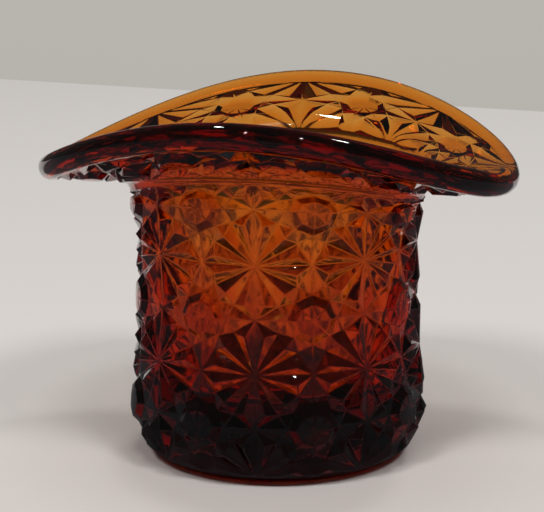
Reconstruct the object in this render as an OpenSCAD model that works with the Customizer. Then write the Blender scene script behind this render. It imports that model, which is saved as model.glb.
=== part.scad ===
// Pressed glass hat, daisy and button pattern, standing on its crown with the brim up.
// The brim is turned up at the front and back and lies low at its two ends.

/* [Crown] */
// Radius over the pattern's ridges at the waist
waist_r = 24.9; // [23:0.1:28]
// Height of the waist above the table
waist_z = 41; // [38:0.5:44]
// Radius of the flank's hollow curve
flank_r = 340; // [220:10:600]
// Height where the flank starts to flare towards the brim
flare_z = 38.5; // [36:0.5:41]
// Radius of that flare
flare_r = 20; // [14:1:60]
// Height where the wall starts to turn out into the brim, at the low ends
neck_z = 46.8; // [46:0.1:49]
// How much higher it turns out at the turned-up sides
neck_lift = 5.6; // [3:0.1:7]
// Glass between the pattern and the smooth inside
wall_t = 2.3; // [2:0.1:4]
// Radius of the well just above its floor
well_r = 18.8; // [17:0.1:19]
// Fillet round the well's floor
well_fillet = 3; // [1:0.25:5]

/* [Foot] */
// Thickness of the glass under the well
floor_t = 13.5; // [9:0.1:16]
// Height of the plain foot, where the pattern starts
ledge_z = 2.4; // [2.3:0.1:3.2]
// Height where the rounded heel meets the flank
heel_z = 8.7; // [8:0.1:8.9]
// Radius of the rounded heel
heel_r = 9; // [9:0.1:12]
// Depth of the hollow under the foot
hollow_d = 0.8; // [0.3:0.1:2]
// Width of the ring that meets the table
ring_w = 3; // [1.5:0.25:5]

/* [Brim] */
// Radius of the turn between wall and brim, on the outer face
bend_r = 1.2; // [1:0.1:2.5]
// How far the rim's centre line stands out from the neck at the low ends
end_out = 13.9; // [12.6:0.1:18]
// How far it rises above the neck there
end_rise = 3.5; // [3:0.1:8]
// How far the rim's centre line stands out at the turned-up sides
side_out = 9.3; // [8:0.1:14]
// How far it rises above the neck there
side_rise = 9.1; // [8:0.1:14]
// Plain glass on each side of the turn
collar_w = 0.2; // [0.1:0.1:1]

/* [Pattern] */
// Daisies round the crown
columns = 8; // [7:1:10]
// Turn of the pattern against the turned-up side, in degrees
pattern_turn = 4.5; // [-10:0.5:10]
// Height of the lowest line of daisy centres
row_z = 1.7; // [1:0.1:2]
// Height from one line of daisies to the next on the crown
row_pitch = 18.45; // [18.2:0.05:18.7]
// Height of the topmost buttons on the crown, at the low ends
top_z = 45.2; // [44:0.1:46]
// How much higher they stand at the turned-up sides
top_lift = 3; // [1:0.1:4]
// Thickness of the patterned layer, ridge to back
skin_t = 2.3; // [2.15:0.05:2.6]
// How far a button's face stands above the ridges
button_h = 0.05; // [0:0.05:0.9]
// Depth of the groove round a button
ring_d = 0.9; // [0.3:0.05:1.2]
// Depth of the petals' outer ends below the ridges
petal_d = 1.3; // [0.6:0.05:1.35]
// Depth of the small stars' centres
star_d = 0.8; // [0.3:0.05:1.2]
// Depth of the daisies' centres
daisy_d = 0.35; // [0:0.05:0.6]
// Depth of the brim's figures at the turned-up sides, as a share of the crown's
side_gain = 1.35; // [1:0.05:1.4]
// Depth of the brim's figures at the low ends, as a share of the crown's
end_gain = 1.2; // [0.4:0.05:1.4]
// Clearance between the patterned layer's flat backs and the round wall
seat_gap = 0.3; // [0.25:0.05:0.38]

/* [Hidden] */
amber = [0.72, 0.38, 0.06];
deep_amber = [0.45, 0.2, 0.03];
pale_amber = [0.86, 0.55, 0.14];

// Whole glass at the rim and in the wall
edge_t = skin_t + wall_t;
// Steps round the brim and along a curve
around = 60;
curve_steps = 4;

// One cell of the pattern is 1 by 1, with daisies at its corners and a button in the middle.
// Widest point of the long kite petals, and the tip of the petals between them
kite = [0.36, 0.085];
tip = [0.375, 0.198];
// Ridge point between the two middle petals, on the cell's diagonal
fork = 0.255;
// Octagon round a button, and the button's own flat face
ring_o = 0.225;
ring_i = 0.15;
// Pattern lines of the four rows of buttons, three on the crown and one under the brim
v_low = 0.5;
v_mid = 1.5;
v_top = 2.5;
v_under = 3.5;
// Pattern lines where the heel, the plain collar at the turn, the brim's figure, its plain margin
// and the rim start
v_heel = (ledge_z - row_z) / row_pitch;
v_collar = 2.81;
v_brim = 3.05;
v_margin = 3.98;
v_rim = 4;
// The brim spreads the pattern, but its buttons keep their width and the daisies take up the rest.
spread = 0.17;
// Depth of the long petals' groove at their widest point
kite_d = daisy_d + (star_d - daisy_d) * kite[0] / 0.5;

// Outer radius of the crown over the ridges at height z: a hollow, flared flank on a rounded heel
function flank(z) = waist_r + pow(z - waist_z, 2) / (2 * flank_r) + pow(max(0, z - flare_z), 2) / (2 * flare_r);
function outer_r(z) = z >= heel_z ? flank(z)
    : flank(heel_z) - heel_r + sqrt(pow(heel_r, 2) - pow(heel_z - z, 2));
// The cup ends level, under the collar, and the brim's sheet stands on it.
cup_z = neck_z - edge_t / 2;
neck_r = outer_r(cup_z);
function wall_r(z) = z <= cup_z ? outer_r(z) : neck_r;

// The rim's centre line is an ellipse seen from above, and rises towards the turned-up sides.
rim_a = neck_r + end_out;
rim_b = neck_r + side_out;
function rim_r(th) = 1 / sqrt(pow(cos(th) / rim_a, 2) + pow(sin(th) / rim_b, 2));
function sides(th) = pow(rim_r(th) * sin(th) / rim_b, 2);
function rim_rise(th) = end_rise + (side_rise - end_rise) * sides(th);
function neck(th) = neck_z + neck_lift * sides(th);

// In the upright plane at angle th the wall turns out on an arc and runs straight to the rim.
// turn is the arc's angle and run the straight length, so that the middle of the glass meets the rim line.
mid_r = bend_r + edge_t / 2;
function aim(th) = [rim_r(th) - neck_r - bend_r, rim_rise(th)];
function run(th) = sqrt(aim(th) * aim(th) - mid_r * mid_r);
function turn(th) = atan2(aim(th)[0], aim(th)[1]) + atan2(mid_r, run(th));
function arc_len(th) = bend_r * turn(th) * PI / 180;
function turned_s(th) = neck(th) + arc_len(th);
function end_s(th) = turned_s(th) + run(th);

// Point at angle th, s along the outer face from the table, and h out of the ridges' surface
function bent(th, a, far, h) = [neck_r + bend_r - (bend_r - h) * cos(a) + far * sin(a),
                                neck(th) + (bend_r - h) * sin(a) + far * cos(a)];
function profile(th, s, h) = s <= neck(th) ? [wall_r(s) + h, s]
    : s <= turned_s(th) ? bent(th, (s - neck(th)) / bend_r * 180 / PI, 0, h)
    : bent(th, turn(th), s - turned_s(th), h);
function at(th, s, h) = let (p = profile(th, s, h)) [p[0] * cos(th), p[0] * sin(th), p[1]];

// Point of the pattern: u columns round from the front, v rows up from the lowest daisies
function collar_s(th) = neck(th) - collar_w;
function brim_s(th) = turned_s(th) + collar_w;
function between(v, v1, v2, s1, s2) = s1 + (s2 - s1) * (v - v1) / (v2 - v1);
function top_s(th) = top_z + top_lift * sides(th);
function row_s(v, th) = v <= 2 ? row_z + v * row_pitch
    : v <= v_top ? between(v, 2, v_top, row_z + 2 * row_pitch, top_s(th))
    : v <= v_collar ? between(v, v_top, v_collar, top_s(th), collar_s(th))
    : v <= v_brim ? between(v, v_collar, v_brim, collar_s(th), brim_s(th))
    : between(v, v_brim, v_rim, brim_s(th), end_s(th));
function on_brim(p) = p[1] > (v_collar + v_brim) / 2;
function column(p) = p[0] + (on_brim(p) ? spread * sin(360 * p[0]) / (2 * PI) : 0);
function way(p) = pattern_turn - 90 + column(p) * 360 / columns;
function gain(p) = on_brim(p) ? end_gain + (side_gain - end_gain) * sides(way(p)) : 1;
function placed(p, h) = at(way(p), row_s(p[1], way(p)), h);
function spot(p) = placed(p, p[2] * gain(p));
function back(p) = placed(p, seat_gap - skin_t);

// A quarter turn of a point about the middle of its figure, q times
function quarter(p, q) = q == 0 ? p : quarter([-p[1], p[0], p[2]], q - 1);
function swap(p) = [p[1], p[0], p[2]];
function shift(p, u, v) = [p[0] + u, p[1] + v, p[2]];
function all_quarters(points) = [for (q = [0:3]) for (p = points) quarter(p, q)];

// Outlines of the figures round their own middles, each point with its height
daisy_q = [[kite[0], 0, -kite_d], [kite[0], kite[1], 0], [tip[0], tip[1], -petal_d], [fork, fork, 0],
           [tip[1], tip[0], -petal_d], [kite[1], kite[0], 0]];
daisy_ring = all_quarters(daisy_q);
star_half = [[0.5 - kite[0], 0, -kite_d], [0.5 - kite[0], kite[1], 0], [0.5 - tip[0], tip[1], -petal_d],
             [0, 0.5 - ring_o, -ring_d], [tip[0] - 0.5, tip[1], -petal_d], [kite[0] - 0.5, kite[1], 0]];
star_ring = concat(star_half, [for (p = star_half) [-p[0], -p[1], p[2]]]);
upright_ring = [for (p = star_ring) quarter(p, 1)];
button_q = [[0, -ring_o, -ring_d], [0.5 - tip[0], tip[1] - 0.5, -petal_d], [0.5 - fork, fork - 0.5, 0],
            [0.5 - tip[1], tip[0] - 0.5, -petal_d]];
button_ring = all_quarters(button_q);

// A closed plate from a facetted front, fanned from its middle point, and a flat back
module plate(ring, middle, u, v) {
    n = len(ring);
    front = [for (p = concat(ring, [middle])) shift(p, u, v)];
    polyhedron(concat([for (p = front) spot(p)], [for (p = front) back(p)]), [
        for (i = [0:n - 1]) let (j = (i + 1) % n) each [
            [n, j, i], [i, j, n + 1 + j], [i, n + 1 + j, n + 1 + i], [2 * n + 1, n + 1 + i, n + 1 + j]]]);
}

// A button: eight small pits round an eight-sided groove, a sloped ring and a flat face
module button(u, v) {
    n = len(button_ring);
    eighth = sqrt(0.5);
    ring_c = [for (q = [0:3]) quarter([ring_o * eighth, -ring_o * eighth, -ring_d], q)];
    face = [for (i = [0:7]) [ring_i * sin(45 * i), -ring_i * cos(45 * i), button_h]];
    front = [for (p = concat(button_ring, ring_c, face, [[0, 0, button_h]])) shift(p, u, v)];
    rear = [for (p = concat(button_ring, [[0, 0, 0]])) shift(p, u, v)];
    corner = n;
    inner = n + 4;
    middle = n + 12;
    b = len(front);
    polyhedron(concat([for (p = front) spot(p)], [for (p = rear) back(p)]), concat(
        [for (q = [0:3]) let (e = 4 * q, c = corner + q, nx = (4 * q + 4) % n,
                              f = inner + 2 * q, g = inner + (2 * q + 2) % 8) each [
            [c, e + 1, e], [c, e + 2, e + 1], [c, e + 3, e + 2], [c, nx, e + 3],
            [e, f, c], [f, f + 1, c], [c, f + 1, nx], [f + 1, g, nx],
            [middle, f + 1, f], [middle, g, f + 1]]],
        [for (i = [0:n - 1]) let (j = (i + 1) % n) each [
            [i, j, b + j], [i, b + j, b + i], [b + n, b + i, b + j]]]));
}

// The outer part of a figure whose middle lies past a line that cuts the pattern off
module cut_plate(ring, hub_h, u, v, v_cut) {
    up = sign(v_cut - v);
    reach = abs(v_cut - v);
    kept = [for (i = [0:len(ring) - 1]) if (ring[i][1] > reach) i];
    first = kept[0];
    last = kept[len(kept) - 1];
    cross = function (p, q) p + (q - p) * (reach - p[1]) / (q[1] - p[1]);
    far = concat([cross(ring[first - 1], ring[first])], [for (i = kept) ring[i]], [cross(ring[last], ring[last + 1])]);
    near = [for (i = kept) let (p = ring[i], k = reach / p[1]) [p[0] * k, reach, hub_h + (p[2] - hub_h) * k]];
    n = len(far);
    b = 2 * n - 2;
    front = [for (p = concat(far, near)) shift([p[0] * up, p[1] * up, p[2]], u, v)];
    faces = concat([[0, n, 1], [n - 2, b - 1, n - 1]],
        [for (i = [1:n - 3]) each [[i, n + i - 1, i + 1], [i + 1, n + i - 1, n + i]]]);
    loop = concat([for (i = [0:n - 1]) i], [for (i = [b - 1:-1:n]) i]);
    polyhedron(concat([for (p = front) spot(p)], [for (p = front) back(p)]), concat(
        faces,
        [for (f = faces) [b + f[0], b + f[2], b + f[1]]],
        [for (i = [0:b - 1]) let (p = loop[i], q = loop[(i + 1) % b]) each [[p, q, b + q], [p, b + q, b + p]]]));
}

module daisies(rows) for (v = rows, u = [0:columns - 1]) plate(daisy_ring, [0, 0, -daisy_d], u, v);
module buttons(rows) for (v = rows, u = [0:columns - 1]) button(u + 0.5, v);
module level_stars(rows) for (v = rows, u = [0:columns - 1]) plate(star_ring, [0, 0, -star_d], u + 0.5, v);
module cut_daisies(v, v_cut) for (u = [0:columns - 1]) cut_plate(daisy_ring, -daisy_d, u, v, v_cut);
module cut_stars(v, v_cut) for (u = [0:columns - 1]) cut_plate(star_ring, -star_d, u + 0.5, v, v_cut);
module upright_stars(rows) for (v = rows, u = [0:columns - 1]) plate(upright_ring, [0, 0, -star_d], u, v);

// A closed ring whose section at angle th is the list of [s, h] points that section(th) gives
module ring_of(sections) {
    n = len(sections);
    m = len(sections[0]);
    polyhedron([for (s = sections) each s], [
        for (i = [0:n - 1], k = [0:m - 1]) let (i2 = (i + 1) % n, k2 = (k + 1) % m) each [
            [i * m + k, i * m + k2, i2 * m + k2], [i * m + k, i2 * m + k2, i2 * m + k]]]);
}
function angle(i) = 360 * i / around;

// The foot: a rounded heel under a thick plug of glass that is the well's floor, hollowed underneath
// so that it stands on a ring
plug_r = well_r - well_fillet;
module foot() {
    ring_r = outer_r(0);
    color(deep_amber) rotate_extrude($fn = 96) polygon(concat(
        [[0, hollow_d], [ring_r - ring_w - hollow_d, hollow_d], [ring_r - ring_w, 0]],
        [for (i = [0:curve_steps]) let (z = ledge_z * i / curve_steps) [outer_r(z), z]],
        [[plug_r, ledge_z], [plug_r, floor_t], [0, floor_t]]));
}

// The crown's cup: a hollow flank outside, and inside a tapered well with a fillet at its floor
module crown_wall() {
    color(amber) rotate_extrude($fn = 96) polygon(concat(
        [[outer_r(ledge_z) - skin_t, ledge_z]],
        [for (i = [0:2 * curve_steps]) let (z = heel_z + (cup_z - heel_z) * i / (2 * curve_steps))
            [outer_r(z) - skin_t, z]],
        [[neck_r - edge_t, cup_z]],
        [for (i = [0:curve_steps]) let (a = 90 * i / curve_steps)
            [well_r - well_fillet * (1 - cos(a)), floor_t + well_fillet * (1 - sin(a))]],
        [[plug_r, ledge_z]]));
}

// The brim's sheet from the cup to the rim, as thick as the whole glass at its collar and its margin
module brim() {
    arc = [for (k = [0:curve_steps]) k / curve_steps];
    color(pale_amber) ring_of([for (i = [0:around - 1])
        let (th = angle(i), low = collar_s(th), high = brim_s(th), margin = row_s(v_margin, th), far = end_s(th))
        concat(
            [at(th, cup_z, -skin_t), at(th, low, -skin_t), at(th, low, 0)],
            [for (f = arc) at(th, neck(th) + arc_len(th) * f, 0)],
            [at(th, high, 0), at(th, high, -skin_t)],
            [for (f = [1:2]) at(th, high + (margin - high) * f / 2, -skin_t)],
            [at(th, margin, 0), at(th, far, 0), at(th, far, -edge_t)],
            [at(th, (high + far) / 2, -edge_t)],
            [for (k = [curve_steps:-1:0]) at(th, neck(th) + arc_len(th) * arc[k], -edge_t)],
            [at(th, cup_z, -edge_t)])]);
}

// The fire-polished edge: a half round that caps the brim's sheet
module rim() {
    steps = 6;
    color(deep_amber) ring_of([for (i = [0:around - 1])
        let (th = angle(i), far = end_s(th))
        [for (k = [0:steps]) let (a = 90 - 180 * k / steps)
            at(th, far + edge_t / 2 * cos(a), -edge_t / 2 + edge_t / 2 * sin(a))]]);
}

module crown_daisies() color(amber) {
    daisies([1, 2]);
    cut_daisies(0, v_heel);
    cut_daisies(3, v_collar);
}
module crown_buttons() color(pale_amber) buttons([v_low, v_mid, v_top]);
module crown_stars() color(deep_amber) {
    level_stars([1, 2]);
    upright_stars([v_low, v_mid, v_top]);
    cut_stars(0, v_heel);
    cut_stars(3, v_collar);
}
module brim_daisies() color(amber) {
    cut_daisies(3, v_brim);
    cut_daisies(4, v_margin);
}
module brim_buttons() color(pale_amber) buttons([v_under]);
module brim_stars() color(deep_amber) {
    upright_stars([v_under]);
    cut_stars(3, v_brim);
    cut_stars(4, v_margin);
}

foot();
crown_wall();
brim();
rim();
crown_daisies();
crown_buttons();
crown_stars();
brim_daisies();
brim_buttons();
brim_stars();
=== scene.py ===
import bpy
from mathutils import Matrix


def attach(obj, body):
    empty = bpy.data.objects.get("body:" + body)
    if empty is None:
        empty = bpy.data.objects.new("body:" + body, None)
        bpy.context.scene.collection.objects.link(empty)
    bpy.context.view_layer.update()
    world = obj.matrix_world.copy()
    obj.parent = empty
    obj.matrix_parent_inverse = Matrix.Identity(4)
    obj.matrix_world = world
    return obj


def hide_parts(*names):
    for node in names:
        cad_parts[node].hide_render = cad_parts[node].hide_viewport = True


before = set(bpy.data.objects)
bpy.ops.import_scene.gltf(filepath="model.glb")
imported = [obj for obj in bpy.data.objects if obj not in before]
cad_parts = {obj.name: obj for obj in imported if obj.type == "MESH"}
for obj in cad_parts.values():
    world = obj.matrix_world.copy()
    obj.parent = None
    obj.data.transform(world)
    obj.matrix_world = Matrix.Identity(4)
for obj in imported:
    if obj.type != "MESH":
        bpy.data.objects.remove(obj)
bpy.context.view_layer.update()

from math import atan2, cos, hypot, pi, radians, sin, sqrt

import bmesh
import bpy
from mathutils import Matrix

# Daisy and button figure
# The mould is cut with one square cell over and over: daisies of long petals at its corners, small
# stars on its sides and an eight-sided button in the middle, each facet flat with soft narrow borders.
# Places in the cell are shares of its side, and depths are in millimetres.
daisies_round = 8
cell = 19
daisy_depth = 0.35
star_depth = 0.8
petal_depth = 1.3
groove_depth = 0.9
button_height = 0.05
button_ring = 0.225
button_face = 0.15
kite_along = 0.36
kite_across = 0.085
tip_along = 0.375
tip_across = 0.198
fork_at = 0.255
soft_border = 0.2
fade_out = 0.04
sheet_weld = 0.001
cut_reach = 1e-5
flat_angle = 0.001


def figure_sheet(low, high):
    """The figure lying flat, once round the hat, between two lines of the pattern, in millimetres."""
    sheet = bmesh.new()

    def point(u, v, height):
        return sheet.verts.new((u * cell, v * cell, height))

    def everything():
        return sheet.verts[:] + sheet.edges[:] + sheet.faces[:]

    def weld():
        bmesh.ops.remove_doubles(sheet, verts=sheet.verts[:], dist=sheet_weld)

    # one eighth of the cell holds every facet once
    ring_at = 0.5 - button_ring * sqrt(0.5)
    face_at = 0.5 - button_face * sqrt(0.5)
    daisy = point(0, 0, -daisy_depth)
    star = point(0.5, 0, -star_depth)
    kite = point(kite_along, kite_across, 0)
    tip = point(tip_along, tip_across, -petal_depth)
    fork = point(fork_at, fork_at, 0)
    ring_side = point(0.5, 0.5 - button_ring, -groove_depth)
    ring_corner = point(ring_at, ring_at, -groove_depth)
    face_side = point(0.5, 0.5 - button_face, button_height)
    face_corner = point(face_at, face_at, button_height)
    button = point(0.5, 0.5, button_height)
    for corners in (
        (daisy, star, kite),
        (daisy, kite, tip),
        (daisy, tip, fork),
        (star, tip, kite),
        (star, ring_side, tip),
        (tip, ring_side, ring_corner),
        (fork, tip, ring_corner),
        (ring_side, face_side, face_corner, ring_corner),
        (face_side, button, face_corner),
    ):
        sheet.faces.new(corners)

    half = cell / 2
    for plane, axis in (
        (Matrix.Rotation(radians(45), 4, "Z"), "X"),
        (Matrix.Translation((-half, 0, 0)), "X"),
        (Matrix.Translation((0, -half, 0)), "Y"),
    ):
        bmesh.ops.mirror(sheet, geom=everything(), matrix=plane, merge_dist=-1, axis=axis)
        weld()

    first_row = int(low)
    bmesh.ops.translate(sheet, verts=sheet.verts[:], vec=(0, first_row * cell, 0))
    one_cell = everything()
    for column in range(daisies_round):
        for row in range(int(high) + 1 - first_row):
            if column or row:
                copied = bmesh.ops.duplicate(sheet, geom=one_cell)["geom"]
                corners = [part for part in copied if isinstance(part, bmesh.types.BMVert)]
                bmesh.ops.translate(sheet, verts=corners, vec=(column * cell, row * cell, 0))
    weld()

    # the button's face is one flat pane, and every facet gets a border for the flame to soften
    inner = [
        edge
        for edge in sheet.edges
        if len(edge.link_faces) == 2 and edge.calc_face_angle() < flat_angle
    ]
    bmesh.ops.dissolve_edges(sheet, edges=inner, use_verts=True)
    bmesh.ops.recalc_face_normals(sheet, faces=sheet.faces[:])
    bmesh.ops.inset_individual(
        sheet, faces=sheet.faces[:], thickness=soft_border, use_even_offset=True
    )

    # the relief fades out just before it is cut off at its lower and upper line
    for line, clear_below, clear_above in (
        (low, True, False),
        (high, False, True),
        (low + fade_out, False, False),
        (high - fade_out, False, False),
    ):
        bmesh.ops.bisect_plane(
            sheet,
            geom=everything(),
            dist=cut_reach,
            plane_co=(0, line * cell, 0),
            plane_no=(0, 1, 0),
            clear_inner=clear_below,
            clear_outer=clear_above,
        )
    fade = fade_out * cell
    for vert in sheet.verts:
        share = min(1, (vert.co.y - low * cell) / fade, (high * cell - vert.co.y) / fade)
        vert.co.z *= max(0, share)
    return sheet


# Crown
# The crown stands upside down on its top: a slightly waisted wall of amber glass, pressed in the mould
# with three rows of the figure, that ends in a plain collar. Sizes are in millimetres.
waist_r = 24.9
waist_z = 41
flank_r = 340
flare_z = 38.5
flare_r = 20
heel_z = 8.7
heel_r = 9
ledge_z = 2.4
glass_t = 4.6
row_z = 1.7
row_pitch = 18.45
pattern_turn = 4.5
top_daisies = 2
top_buttons = 2.5
collar_line = 2.81
top_z = 45.2
top_lift = 3
collar_w = 0.2
neck_z = 46.8
neck_lift = 5.6
end_out = 13.9
side_out = 9.3
millimetre = 0.001
glass_weld = 2e-6


def outer_r(z):
    if z >= heel_z:
        flare = max(0, z - flare_z) ** 2 / (2 * flare_r)
        return waist_r + (z - waist_z) ** 2 / (2 * flank_r) + flare
    return outer_r(heel_z) - heel_r + sqrt(heel_r**2 - (heel_z - z) ** 2)


cup_z = neck_z - glass_t / 2
neck_r = outer_r(cup_z)
rim_a = neck_r + end_out
rim_b = neck_r + side_out


def rim_r(turned):
    return 1 / hypot(cos(turned) / rim_a, sin(turned) / rim_b)


def fold(turned):
    """How much the brim is folded up at this angle: 0 at the low ends, 1 at the front and back."""
    return (rim_r(turned) * sin(turned) / rim_b) ** 2


def neck(turned):
    return neck_z + neck_lift * fold(turned)


def collar_s(turned):
    return neck(turned) - collar_w


def between(value, from_low, from_high, low, high):
    return low + (high - low) * (value - from_low) / (from_high - from_low)


def crown_row(line, turned):
    """Height of a line of the pattern on the crown."""
    if line <= top_daisies:
        return row_z + line * row_pitch
    top = top_z + top_lift * fold(turned)
    if line <= top_buttons:
        return between(line, top_daisies, top_buttons, row_z + top_daisies * row_pitch, top)
    return between(line, top_buttons, collar_line, top, collar_s(turned))


def pattern_angle(column):
    return radians(pattern_turn - 90 + column * 360 / daisies_round)


def turned_point(turned, r, z):
    return (r * cos(turned) * millimetre, r * sin(turned) * millimetre, z * millimetre)


def on_crown(turned, s, out):
    return turned_point(turned, (outer_r(s) if s <= cup_z else neck_r) + out, s)


heel_line = (ledge_z - row_z) / row_pitch
crown = figure_sheet(heel_line, collar_line)
for vert in crown.verts:
    turned = pattern_angle(vert.co.x / cell)
    vert.co = on_crown(turned, crown_row(vert.co.y / cell, turned), vert.co.z)
bmesh.ops.remove_doubles(crown, verts=crown.verts[:], dist=glass_weld)
pressed = bpy.data.meshes.new("hat_glass")
crown.to_mesh(pressed)
crown.free()

# Brim
# Above the collar the same glass turns out on a tight bend and runs straight to the rim. While it was
# soft the maker folded it up at the front and back, and one more row of the figure lies underneath it.
bend_r = 1.2
end_rise = 3.5
side_rise = 9.1
brim_line = 3.05
margin_line = 3.98
rim_line = 4
spread = 0.17
end_gain = 1.2
side_gain = 1.35
collar_steps = 10
mid_r = bend_r + glass_t / 2


def reach(turned):
    """Angle of the bend and length of the straight run beyond it."""
    across = rim_r(turned) - neck_r - bend_r
    up = end_rise + (side_rise - end_rise) * fold(turned)
    straight = sqrt(across**2 + up**2 - mid_r**2)
    return atan2(across, up) + atan2(mid_r, straight), straight


def bend_s(turned):
    return neck(turned) + bend_r * reach(turned)[0]


def figure_s(turned):
    return bend_s(turned) + collar_w


def end_s(turned):
    return bend_s(turned) + reach(turned)[1]


def on_brim(turned, s, out):
    """Point at a distance along the outer face, from the crown round the bend to the rim."""
    bend = reach(turned)[0]
    angle = min(bend, (s - neck(turned)) / bend_r)
    if angle < 0:
        return on_crown(turned, s, out)
    beyond = max(0, s - bend_s(turned))
    r = neck_r + bend_r - (bend_r - out) * cos(angle) + beyond * sin(angle)
    z = neck(turned) + (bend_r - out) * sin(angle) + beyond * cos(angle)
    return turned_point(turned, r, z)


def brim_row(line, turned):
    """Distance along the brim's face of a line of the pattern."""
    return between(line, brim_line, rim_line, figure_s(turned), end_s(turned))


# the brim spreads the figure, but its buttons keep their width and the daisies take up the rest
brim = figure_sheet(brim_line, margin_line)
for vert in brim.verts:
    column = vert.co.x / cell
    turned = pattern_angle(column + spread * sin(2 * pi * column) / (2 * pi))
    gain = end_gain + (side_gain - end_gain) * fold(turned)
    vert.co = on_brim(turned, brim_row(vert.co.y / cell, turned), vert.co.z * gain)
bmesh.ops.remove_doubles(brim, verts=brim.verts[:], dist=glass_weld)
brim_mesh = bpy.data.meshes.new("brim_figure")
brim.to_mesh(brim_mesh)
brim.free()

hat = bmesh.new()
hat.from_mesh(pressed)
crown_edges = [edge for edge in hat.edges if edge.is_boundary]
heel_height = heel_z * millimetre
heel_loop = [edge for edge in crown_edges if edge.verts[0].co.z < heel_height]
collar_loop = [edge for edge in crown_edges if edge.verts[0].co.z >= heel_height]
crown_parts = set(hat.edges)
hat.from_mesh(brim_mesh)
bpy.data.meshes.remove(brim_mesh)
brim_edges = [edge for edge in hat.edges if edge.is_boundary and edge not in crown_parts]


def line_r(line, turned):
    """Distance from the axis of a line of the pattern on the brim."""
    return hypot(*on_brim(turned, brim_row(line, turned), 0)[:2])


def near_rim(edge):
    """Tells the edges at the margin of the brim's figure from those at its foot."""
    corner = edge.verts[0].co
    turned = atan2(corner.y, corner.x)
    middle = (line_r(brim_line, turned) + line_r(margin_line, turned)) / 2
    return hypot(corner.x, corner.y) > middle


margin_loop = [edge for edge in brim_edges if near_rim(edge)]
foot_loop = [edge for edge in brim_edges if not near_rim(edge)]


def draw_out(loop, place):
    """Draws a loop of edges out to the next ring, whose points place gives by their angle."""
    grown = bmesh.ops.extrude_edge_only(hat, edges=loop)["geom"]
    fresh = {part for part in grown if isinstance(part, bmesh.types.BMVert)}
    for vert in fresh:
        vert.co = place(atan2(vert.co.y, vert.co.x))
    edges = [part for part in grown if isinstance(part, bmesh.types.BMEdge)]
    return [edge for edge in edges if fresh.issuperset(edge.verts)]


def rings_along(start, end, steps, out):
    """Places of the rings that lead in even steps from one line of the section to another."""

    def ring_place(step):
        return lambda turned: on_brim(
            turned, between(step, 0, steps, start(turned), end(turned)), out
        )

    return [ring_place(step) for step in range(1, steps + 1)]


for place in rings_along(collar_s, figure_s, collar_steps, 0)[:-1]:
    collar_loop = draw_out(collar_loop, place)
bmesh.ops.bridge_loops(hat, edges=collar_loop + foot_loop)

# Rim and well
# The edge of the brim is a thick half round, softened in the flame, and from it the inside runs smooth
# down the brim and the tapered well to its floor, as the plunger left it.
longest_edge = 1.2
edge_cuts = 3
bead_steps = 14
slope_steps = 8
turn_steps = 10
well_steps = 10
fillet_steps = 6
well_r = 18.8
well_fillet = 3
floor_t = 13.5
bead_r = glass_t / 2

long_edges = [edge for edge in margin_loop if edge.calc_length() > longest_edge * millimetre]
bmesh.ops.subdivide_edges(hat, edges=long_edges, cuts=edge_cuts)
open_edges = [edge for edge in hat.edges if edge.is_boundary]
margin_loop = [edge for edge in open_edges if edge.verts[0].co.z >= heel_height]
rim_loop = draw_out(margin_loop, lambda turned: on_brim(turned, end_s(turned), 0))
for step in range(1, bead_steps + 1):
    swing = pi / 2 - pi * step / bead_steps
    rim_loop = draw_out(
        rim_loop,
        lambda turned: on_brim(
            turned, end_s(turned) + bead_r * cos(swing), bead_r * sin(swing) - bead_r
        ),
    )
slope = rings_along(end_s, bend_s, slope_steps, -glass_t)
inner_bend = rings_along(bend_s, neck, turn_steps, -glass_t)
for place in slope + inner_bend:
    rim_loop = draw_out(rim_loop, place)


def ring(loop, r, z):
    return draw_out(loop, lambda turned: turned_point(turned, r, z))


def close_middle(loop, r, z):
    """Fills a level round face with a few rings, down to a point on the axis."""
    for share in (0.7, 0.4, 0.15):
        loop = ring(loop, r * share, z)
    last = dict.fromkeys(vert for edge in loop for vert in edge.verts)
    bmesh.ops.pointmerge(hat, verts=list(last), merge_co=turned_point(0, 0, z))


well_top = floor_t + well_fillet
for step in range(well_steps + 1):
    down = step / well_steps
    z = between(down, 0, 1, cup_z, well_top)
    rim_loop = ring(rim_loop, between(down, 0, 1, neck_r - glass_t, well_r), z)
for step in range(1, fillet_steps + 1):
    swing = pi / 2 * step / fillet_steps
    r = well_r - well_fillet * (1 - cos(swing))
    rim_loop = ring(rim_loop, r, well_top - well_fillet * sin(swing))
close_middle(rim_loop, well_r - well_fillet, floor_t)

# Foot
# The heel rounds under into a ring that the hat stands on, and inside the ring the underside is
# hollowed a little so that it cannot rock. The ring's two edges and the hollow's are eased.
hollow_d = 0.8
ring_w = 3
heel_steps = 8
heel_ease = 0.05
outer_edge = 0.4
inner_edge = 0.2
inner_lift = 0.02
hollow_edge = 0.3
ring_r = outer_r(0)
hollow_r = ring_r - ring_w

for step in range(1, heel_steps):
    z = ledge_z * (1 - step / heel_steps)
    heel_loop = ring(heel_loop, outer_r(z), z)
for r, z in (
    (ring_r - heel_ease, 0),
    (ring_r - outer_edge, 0),
    (hollow_r + inner_edge, 0),
    (hollow_r, inner_lift),
    (hollow_r - hollow_d, hollow_d - heel_ease),
    (hollow_r - hollow_d - hollow_edge, hollow_d),
):
    heel_loop = ring(heel_loop, r, z)
close_middle(heel_loop, hollow_r - hollow_d, hollow_d)

bmesh.ops.remove_doubles(hat, verts=hat.verts[:], dist=glass_weld)
bmesh.ops.recalc_face_normals(hat, faces=hat.faces[:])
for face in hat.faces:
    face.smooth = True
hat.to_mesh(pressed)
hat.free()
hat_glass = bpy.data.objects.new("hat_glass", pressed)
bpy.context.scene.collection.objects.link(hat_glass)

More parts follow.
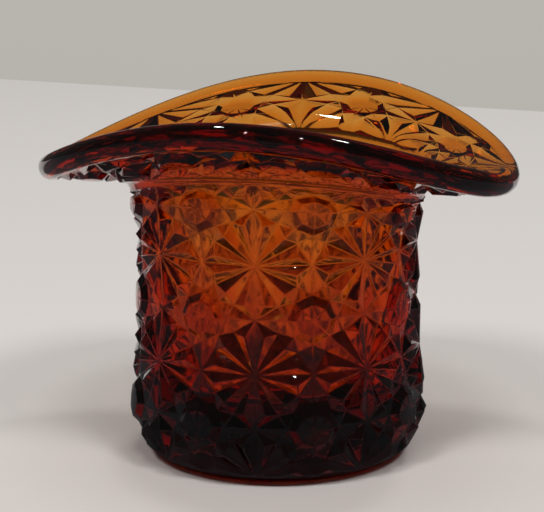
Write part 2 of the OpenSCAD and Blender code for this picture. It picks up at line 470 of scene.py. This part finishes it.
# Amber glass
# Soda glass coloured through and through, so thin places are honey yellow and thick ones dark brown.
# Its skin has the faint waves of a pressed and flame-polished surface and slight marks of handling, and
# the plunger left the well a little dull.
bright_r = 22.8
dull_r = 21.5
amber = bpy.data.materials.new("amber_glass")
amber.use_nodes = True
nodes = amber.node_tree.nodes
links = amber.node_tree.links
skin = nodes["Principled BSDF"]
skin.inputs["Base Color"].default_value = (1, 1, 1, 1)
skin.inputs["Transmission Weight"].default_value = 1
skin.inputs["IOR"].default_value = 1.52
position = nodes.new("ShaderNodeTexCoord")
handling = nodes.new("ShaderNodeTexNoise")
handling.inputs["Scale"].default_value = 120
handling.inputs["Detail"].default_value = 4
links.new(position.outputs["Object"], handling.inputs["Vector"])
haze = nodes.new("ShaderNodeMapRange")
haze.inputs["From Min"].default_value = 0.35
haze.inputs["From Max"].default_value = 0.8
haze.inputs["To Min"].default_value = 0
haze.inputs["To Max"].default_value = 0.03
links.new(handling.outputs["Fac"], haze.inputs["Value"])
level = nodes.new("ShaderNodeVectorMath")
level.operation = "MULTIPLY"
level.inputs[1].default_value = (1, 1, 0)
links.new(position.outputs["Object"], level.inputs[0])
from_axis = nodes.new("ShaderNodeVectorMath")
from_axis.operation = "LENGTH"
links.new(level.outputs["Vector"], from_axis.inputs[0])
chill = nodes.new("ShaderNodeMapRange")
chill.inputs["From Min"].default_value = bright_r * millimetre
chill.inputs["From Max"].default_value = dull_r * millimetre
chill.inputs["To Min"].default_value = 0
chill.inputs["To Max"].default_value = 0.12
links.new(from_axis.outputs["Value"], chill.inputs["Value"])
dull = nodes.new("ShaderNodeMath")
dull.operation = "ADD"
links.new(haze.outputs["Result"], dull.inputs[0])
links.new(chill.outputs["Result"], dull.inputs[1])
links.new(dull.outputs["Value"], skin.inputs["Roughness"])
waves = nodes.new("ShaderNodeTexNoise")
waves.inputs["Scale"].default_value = 260
waves.inputs["Detail"].default_value = 3
links.new(position.outputs["Object"], waves.inputs["Vector"])
ripple = nodes.new("ShaderNodeBump")
ripple.inputs["Strength"].default_value = 0.25
ripple.inputs["Distance"].default_value = 0.2 * millimetre
links.new(waves.outputs["Fac"], ripple.inputs["Height"])
links.new(ripple.outputs["Normal"], skin.inputs["Normal"])
tint = nodes.new("ShaderNodeVolumeAbsorption")
tint.inputs["Color"].default_value = (0.926, 0.635, 0, 1)
tint.inputs["Density"].default_value = 780
links.new(tint.outputs["Volume"], nodes["Material Output"].inputs["Volume"])
pressed.materials.append(amber)

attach(hat_glass, "root")
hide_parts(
    "foot",
    "crown_wall",
    "brim",
    "rim",
    "crown_daisies",
    "crown_buttons",
    "crown_stars",
    "brim_daisies",
    "brim_buttons",
    "brim_stars",
)

# Table and wall
# The hat stands on a plain pale table, whose far edge runs a little askew behind it, with a plain
# grey wall beyond. Both are matt paint. Sizes from here on are in metres, seen from the lens.
view_angle = 0.235
table_half = 1.2
far_left = 1.05
far_right = -0.1
wall_half = 0.6
wall_back = 1.6
wall_top = 0.02
wall_glow = 0.62
view_turn = Matrix.Rotation(view_angle, 4, "Z")


def show_pale(paint, coat, colour, glow):
    """Keeps a backdrop pale to the lens and in the glass, with no more light on the hat."""
    coat.inputs["Emission Color"].default_value = colour
    ray = paint.node_tree.nodes.new("ShaderNodeLightPath")
    seen = ray.outputs["Is Camera Ray"]
    for kind in ("Is Glossy Ray", "Is Transmission Ray"):
        either = paint.node_tree.nodes.new("ShaderNodeMath")
        either.operation = "MAXIMUM"
        paint.node_tree.links.new(seen, either.inputs[0])
        paint.node_tree.links.new(ray.outputs[kind], either.inputs[1])
        seen = either.outputs["Value"]
    strength = paint.node_tree.nodes.new("ShaderNodeMath")
    strength.operation = "MULTIPLY"
    strength.inputs[1].default_value = glow
    paint.node_tree.links.new(seen, strength.inputs[0])
    paint.node_tree.links.new(strength.outputs["Value"], coat.inputs["Emission Strength"])


def plain_paint(name, colour, glow=0):
    paint = bpy.data.materials.new(name)
    paint.use_nodes = True
    coat = paint.node_tree.nodes["Principled BSDF"]
    coat.inputs["Base Color"].default_value = colour
    coat.inputs["Roughness"].default_value = 0.7
    coat.inputs["Specular IOR Level"].default_value = 0.2
    if glow:
        show_pale(paint, coat, colour, glow)
    return paint


def set_out(name, form, paint):
    """Turns a form towards the lens and sets it out as part of the room."""
    bmesh.ops.transform(form, matrix=view_turn, verts=form.verts[:])
    bmesh.ops.recalc_face_normals(form, faces=form.faces[:])
    mesh = bpy.data.meshes.new(name)
    form.to_mesh(mesh)
    form.free()
    mesh.materials.append(paint)
    made = bpy.data.objects.new(name, mesh)
    bpy.context.scene.collection.objects.link(made)
    return made


def flat_panel(name, corners, paint):
    panel = bmesh.new()
    panel.faces.new([panel.verts.new(corner) for corner in corners])
    set_out(name, panel, paint)


flat_panel(
    "table",
    [
        (-table_half, -table_half, 0),
        (table_half, -table_half, 0),
        (table_half, far_right, 0),
        (-table_half, far_left, 0),
    ],
    plain_paint("table_paint", (0.71, 0.675, 0.648, 1)),
)
flat_panel(
    "wall",
    [
        (-wall_half, wall_back, -wall_half),
        (wall_half, wall_back, -wall_half),
        (wall_half, wall_back, wall_top),
        (-wall_half, wall_back, wall_top),
    ],
    plain_paint("wall_paint", (0.45, 0.43, 0.40, 1), wall_glow),
)

# Lamps
# A dim room with soft lamps overhead: three keys in front and a wide panel light the table and throw one
# soft shadow, two small panels draw bright lines on the rim, and two bulbs put sparkles on the facets.
panel_height = 2.2
panel_watts = 6.5
key_front = -1.45
key_height = 2.05
key_size = 0.5
side_watts = 21
middle_watts = 10
wide_watts = 6
bulb_side = 0.5
bulb_size = 0.06
bulb_watts = 1.5
room = bpy.data.worlds.new("room")
room.use_nodes = True
room.node_tree.nodes["Background"].inputs["Color"].default_value = (1, 0.95, 0.9, 1)
room.node_tree.nodes["Background"].inputs["Strength"].default_value = 0.06
bpy.context.scene.world = room


def lamp(name, spot, wide, deep, watts):
    """A soft rectangular lamp that is aimed at the foot of the hat."""
    light = bpy.data.lights.new(name, "AREA")
    light.shape = "RECTANGLE"
    light.size = wide
    light.size_y = deep
    light.energy = watts
    made = bpy.data.objects.new(name, light)
    made.matrix_world = view_turn @ Matrix.Translation(spot)
    aim = (-made.matrix_world.translation).to_track_quat("-Z", "Y")
    made.rotation_euler = aim.to_euler()
    bpy.context.scene.collection.objects.link(made)
    return made


for name, spot, wide, deep in (
    ("left_panel", (-0.6, 0.37, panel_height), 0.3, 0.16),
    ("right_panel", (0.98, 0.54, panel_height), 0.25, 0.2),
):
    panel = lamp(name, spot, wide, deep, panel_watts)
    panel.visible_transmission = False
for name, spot, size, watts, through in (
    ("left_key", (-1, key_front, key_height), key_size, side_watts, False),
    ("middle_key", (0, -1.2, panel_height), key_size, middle_watts, True),
    ("right_key", (1, key_front, key_height), key_size, side_watts, False),
    ("wide_panel", (0, 0.3, 2), 1, wide_watts, False),
):
    shade = lamp(name, spot, size, size, watts)
    shade.visible_glossy = False
    shade.visible_transmission = through
for name, side in (("left_bulb", -bulb_side), ("right_bulb", bulb_side)):
    bulb = lamp(name, (side, key_front, key_height), bulb_size, bulb_size, bulb_watts)
    bulb.visible_transmission = False

# Card of painted shade
# A matt card, dark grey, lies on the table under the hat's front and sides, with a hole for the foot.
# Only reflections see it, so it is painted shade in what the glass mirrors there, and the glass stays
# deep in colour.
card_hole = 0.0208
card_r = 1.8
card_past = 0.8
card_height = 0.0003
card_steps = 72
cut_out = bmesh.new()
card_ends = [cut_out.verts.new((r, 0, card_height)) for r in (card_hole, card_r)]
card_line = cut_out.edges.new(card_ends)
bmesh.ops.rotate(cut_out, verts=card_ends, matrix=Matrix.Rotation(-pi - card_past, 3, "Z"))
bmesh.ops.spin(
    cut_out,
    geom=card_ends + [card_line],
    axis=(0, 0, 1),
    angle=pi + 2 * card_past,
    steps=card_steps,
)
# dark grey painted shade, seen only in the glass's reflections
shade_card = set_out("painted_shade_card", cut_out, plain_paint("painted_shade_paint", (0.12, 0.12, 0.13, 1)))
shade_card.visible_camera = False
shade_card.visible_diffuse = False
shade_card.visible_transmission = False
shade_card.visible_shadow = False

# Camera
# A long lens a little above the brim, turned a few degrees from the hat's folded front.
lens_height = 0.1094
lens_distance = 0.3436
lens_pan = 0.003
lens_tilt = 0.213
lens_roll = 0.004
camera_data = bpy.data.cameras.new("camera")
camera_data.sensor_width = 36
camera_data.lens = 132.07
camera = bpy.data.objects.new("camera", camera_data)
camera.matrix_world = (
    view_turn
    @ Matrix.Translation((0, -lens_distance, lens_height))
    @ Matrix.Rotation(lens_pan, 4, "Z")
    @ Matrix.Rotation(pi / 2 - lens_tilt, 4, "X")
    @ Matrix.Rotation(-lens_roll, 4, "Z")
)
bpy.context.scene.collection.objects.link(camera)
bpy.context.scene.camera = camera

bpy.context.scene.view_settings.view_transform = "Standard"
